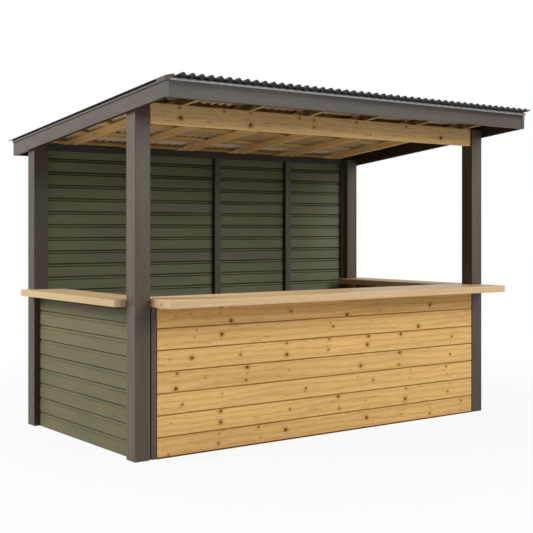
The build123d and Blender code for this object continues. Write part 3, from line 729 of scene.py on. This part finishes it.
# the underside keeps the dark top colour 80 mm past the front fascia: painted shade at the eaves
insideFront = (box("front_fascia")[1][1] + sheet["darkEaves"] - low[1]) / run
insideBack = (box("back_fascia")[0][1] - low[1]) / run
insideRight = box("right_fascia")[0][0] - low[0]
across = np.linspace(0, wide, columns)
down = np.concatenate([[0], [insideFront], np.linspace(insideFront, insideBack, rows - 3), [1]])
x, s = np.meshgrid(across, down, indexing="ij")
bed = high[2] - sheet["depth"] - sheet["thick"]
topSide = np.stack([low[0] + x, low[1] + s * run, bed + waveHeight(x) + sheet["thick"] - fall * run * s], -1)
underSide = topSide - [0, 0, sheet["thick"]]
count = columns * rows
i, j = np.meshgrid(np.arange(columns - 1), np.arange(rows - 1), indexing="ij")
first = (i * rows + j).ravel()
quadsTop = np.stack([first, first + rows, first + rows + 1, first + 1], 1)
rimLines = [np.arange(columns) * rows, np.arange(columns)[::-1] * rows + rows - 1,
            np.arange(rows)[::-1], (columns - 1) * rows + np.arange(rows)]
rims = [np.stack([line[1:], line[:-1], line[:-1] + count, line[1:] + count], 1) for line in rimLines]
backed = (j > 1) & (j < rows - 2) & (across[i] < insideRight)  # the backing coat shows between the fascias; outside them the dark top colour stays as painted shade
faces = np.concatenate([quadsTop, quadsTop[:, ::-1] + count] + rims)
backing = np.zeros(len(faces))
backing[len(quadsTop):2 * len(quadsTop)] = backed.ravel()
crest = waveHeight(x) / sheet["depth"]
eaves = np.arange(rows) < 2
shadow = np.where(eaves, (1 - crest) * sheet["paintedShade"], crest * sheet["fluteDirtAndShade"])  # painted shadow in the troughs at the eaves, then dirt and painted shade in the flutes
roofPart = {"points": np.concatenate([topSide.reshape(-1, 3), underSide.reshape(-1, 3)]),
            "faces": faces.tolist(), "side": backing,
            "groove": np.concatenate([np.zeros(count), shadow.ravel()])}
makePiece("roof_corrugated_sheet", [roofPart], sheetSteel, ["roof_sheet"], True)

# Roof screws on every third crest over each batten: a turned washer with a small head, as a lathed profile.
screws = {"every": 3, "spokes": 8, "sink": 0.0008,
          "profile": ((0.011, 0.0), (0.010, 0.002), (0.006, 0.0026), (0.0055, 0.007))}  # radius, height
radii, heights = np.array(screws["profile"]).T
turn = np.arange(screws["spokes"]) * 2 * math.pi / screws["spokes"]
shape = np.stack([np.outer(radii, np.cos(turn)), np.outer(radii, np.sin(turn)),
                  np.repeat(heights[:, None], len(turn), 1)], -1).reshape(-1, 3)
j = np.arange(len(turn))
k = (j + 1) % len(turn)
starts = np.arange(len(radii) - 1) * len(turn)
walls = [np.stack([r + j, r + k, r + len(turn) + k, r + len(turn) + j], 1) for r in starts]
oneScrew = np.concatenate(walls).tolist() + [j[::-1].tolist(), (j + (len(radii) - 1) * len(turn)).tolist()]
crests = (np.arange(1, int(sheet["waves"]), screws["every"]) + 0.5) * pitch
spots = np.array([sum(box(f"purlin_{index + 1}"))[1] / 2 for index in range(purlins["count"])])
x, y = (grid.ravel() for grid in np.meshgrid(crests, spots, indexing="ij"))
seats = np.stack([low[0] + x, y, high[2] - fall * (y - low[1]) - screws["sink"]], 1)
screwPart = {"points": (seats[:, None] + shape).reshape(-1, 3),
             "faces": [[v + n * len(shape) for v in face] for n in range(len(seats)) for face in oneScrew]}
makePiece("roof_screws", [screwPart], cappingSteel, [])

# Flashing: the folded strip on the front fascia.
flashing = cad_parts["front_flashing"].data.materials
flashing.clear()
flashing.append(flashingSteel)

# Left capping: a folded strip with painted shade on the turned edge along its top, a closed front end, and a
# thin tail, dark all over, that runs past the back fascia beside the sheet.
capping = {"thick": 0.002, "drop": 0.028, "rise": 0.001, "peak": 0.019, "peakIn": 0.068, "foot": 0.0036,
           "hem": 0.008, "plate": 0.046, "darkEdge": 0.017, "lightEnd": 0.10, "tail": 0.088, "fold": 0.0003}
low, high = box("left_capping")
wide, run = high[0] - low[0], high[1] - low[1]
thick, drop, rise, peak, peakIn, foot, hem, dark = (
    capping[key] for key in ("thick", "drop", "rise", "peak", "peakIn", "foot", "hem", "darkEdge"))
corner = np.array([low[0], low[1], high[2] - peak - thick])
slope = np.array([0, 1, -fall])
ridge = [[0, rise + thick], [peakIn, peak + thick], [wide, foot + thick]]
outerLeg = [[0, -drop], [0, rise - dark], [0, rise - dark + capping["fold"]]]
inside = [[wide, foot], [peakIn, peak], [thick, rise],
          [thick, thick - drop], [hem, thick - drop], [hem, -drop]]
end = [[wide, foot], [capping["plate"], 0], [capping["plate"], -drop]]
lower = rise - thick
tail = [[0, lower], [0, rise + thick], [peakIn, peak + thick], [peakIn, peak]]


def foldedPart(outline, shade, start, length, stations=(0, 1)):
    # Outline of (across, up) points carried down the slope from a start, dark where the shade says.
    section = {"ring": np.array(outline), "worn": np.zeros(len(outline)), "groove": np.asarray(shade, float)}
    return sweep(corner + start * slope, length * slope, xAxis, zAxis, section, stations, capping["fold"])


reach = capping["lightEnd"] / run
folds = np.isin(np.arange(len(outerLeg + ridge + inside)), (2, 3, 4, 5))  # turned edge and ridge
shade = np.array([0, 0, 0, 1, 1, 1])[:, None] * folds  # no painted shade at the front end
parts = [foldedPart(outerLeg + ridge + inside, shade, thick, run - thick, (0, reach, reach, 1)),
         foldedPart([outerLeg[0]] + ridge + end, np.zeros(7), 0, thick),
         foldedPart(tail, np.ones(4), run, capping["tail"])]
makePiece("left_capping_fold", parts, cappingSteel, ["left_capping"])
print("roof made")

# Camera.
view = {"place": (-5.108, -6.8659, 1.5473), "turn": 0.6368, "sensor": 36.0,
        "focal": 1037.07, "horizon": 231.085, "side": 533}  # focal length, horizon row and side in pixels
cameraData = bpy.data.cameras.new("camera")
cameraData.sensor_width = view["sensor"]
cameraData.lens = view["focal"] / view["side"] * view["sensor"]
cameraData.shift_y = view["horizon"] / view["side"] - 0.5
camera = bpy.data.objects.new("camera", cameraData)
camera.location = view["place"]
camera.rotation_euler = (math.pi / 2, 0, -view["turn"])
bpy.context.collection.objects.link(camera)
bpy.context.scene.camera = camera

# Light: a large soft lamp from the left and a softer one from the front, under a dim even sky.
studio = {"sky": 0.12, "key": 1250, "keyPlace": (-9.0, 3.0, 6.5), "keySize": 5.0,
          "fill": 900, "fillPlace": (4.0, -9.0, 6.4), "fillSize": 6.0,
          "floor": "#CCCCCC", "floorSize": 40, "floorDrop": 0.001,
          "shadow": 0.09, "fadeFrom": 2.0, "fadeTo": 5.0}  # share of the shadow kept, metres from the middle


def softLamp(name, place, power, size, aim=(0, 0, 1.0)):
    lamp = bpy.data.lights.new(name, "AREA")
    lamp.energy, lamp.size = power, size
    stand = bpy.data.objects.new(name, lamp)
    stand.location = place
    away = np.asarray(aim, float) - np.asarray(place, float)
    flat = math.hypot(away[0], away[1])
    stand.rotation_euler = (math.pi / 2 + math.atan2(away[2], flat), 0, math.atan2(-away[0], away[1]))
    bpy.context.collection.objects.link(stand)


softLamp("key_lamp", studio["keyPlace"], studio["key"], studio["keySize"])
softLamp("fill_lamp", studio["fillPlace"], studio["fill"], studio["fillSize"])


def seenDirect(tree):
    # 1 where the camera, a gloss or a clear body looks at the background, 0 for light that falls on things.
    cameraRay = addNode(tree, "ShaderNodeLightPath", out="Is Camera Ray")
    paths = cameraRay.node.outputs
    glossy = addNode(tree, "ShaderNodeMath", {0: cameraRay, 1: paths["Is Glossy Ray"]}, operation="MAXIMUM")
    return addNode(tree, "ShaderNodeMath", {0: glossy, 1: paths["Is Transmission Ray"]}, operation="MAXIMUM")


world = bpy.data.worlds.new("studio")
bpy.context.scene.world = world
world.use_nodes = True
tree = world.node_tree
tree.nodes.clear()
seen = seenDirect(tree)
strength = addNode(tree, "ShaderNodeMapRange", {"Value": seen, "To Min": studio["sky"], "To Max": 1.0})
backdrop = addNode(tree, "ShaderNodeBackground", {"Color": (1, 1, 1, 1), "Strength": strength})
addNode(tree, "ShaderNodeOutputWorld", {"Surface": backdrop})

# Floor: matt pale grey that the camera sees as white, with a part of the stall's shadow kept near it.
floorMaterial, tree = newMaterial("pale_studio_floor")
seen = seenDirect(tree)
matt = addNode(tree, "ShaderNodeBsdfDiffuse", {"Color": colour(studio["floor"])})
glow = addNode(tree, "ShaderNodeEmission", {"Color": (1, 1, 1, 1), "Strength": 1.0})
place = addNode(tree, "ShaderNodeTexCoord", out="Object")
far = addNode(tree, "ShaderNodeVectorMath", {0: place}, out="Value", operation="LENGTH")
pure = addNode(tree, "ShaderNodeMapRange", {
    "Value": far, "From Min": studio["fadeFrom"], "From Max": studio["fadeTo"],
    "To Min": 1 - studio["shadow"], "To Max": 1.0})
share = addNode(tree, "ShaderNodeMath", {0: seen, 1: pure}, operation="MULTIPLY")
mixed = addNode(tree, "ShaderNodeMixShader", {0: share, 1: matt, 2: glow})
addNode(tree, "ShaderNodeOutputMaterial", {"Surface": mixed})
floorMesh = bpy.data.meshes.new("floor")
corners = np.array([[-1, -1, 0], [1, -1, 0], [1, 1, 0], [-1, 1, 0]]) * studio["floorSize"]
floorMesh.from_pydata((corners - studio["floorDrop"] * zAxis).tolist(), [], [(0, 1, 2, 3)])
floorMesh.materials.append(floorMaterial)
floor = bpy.data.objects.new("floor", floorMesh)
bpy.context.collection.objects.link(floor)
bpy.context.scene.view_settings.view_transform = "Standard"
print("studio set")
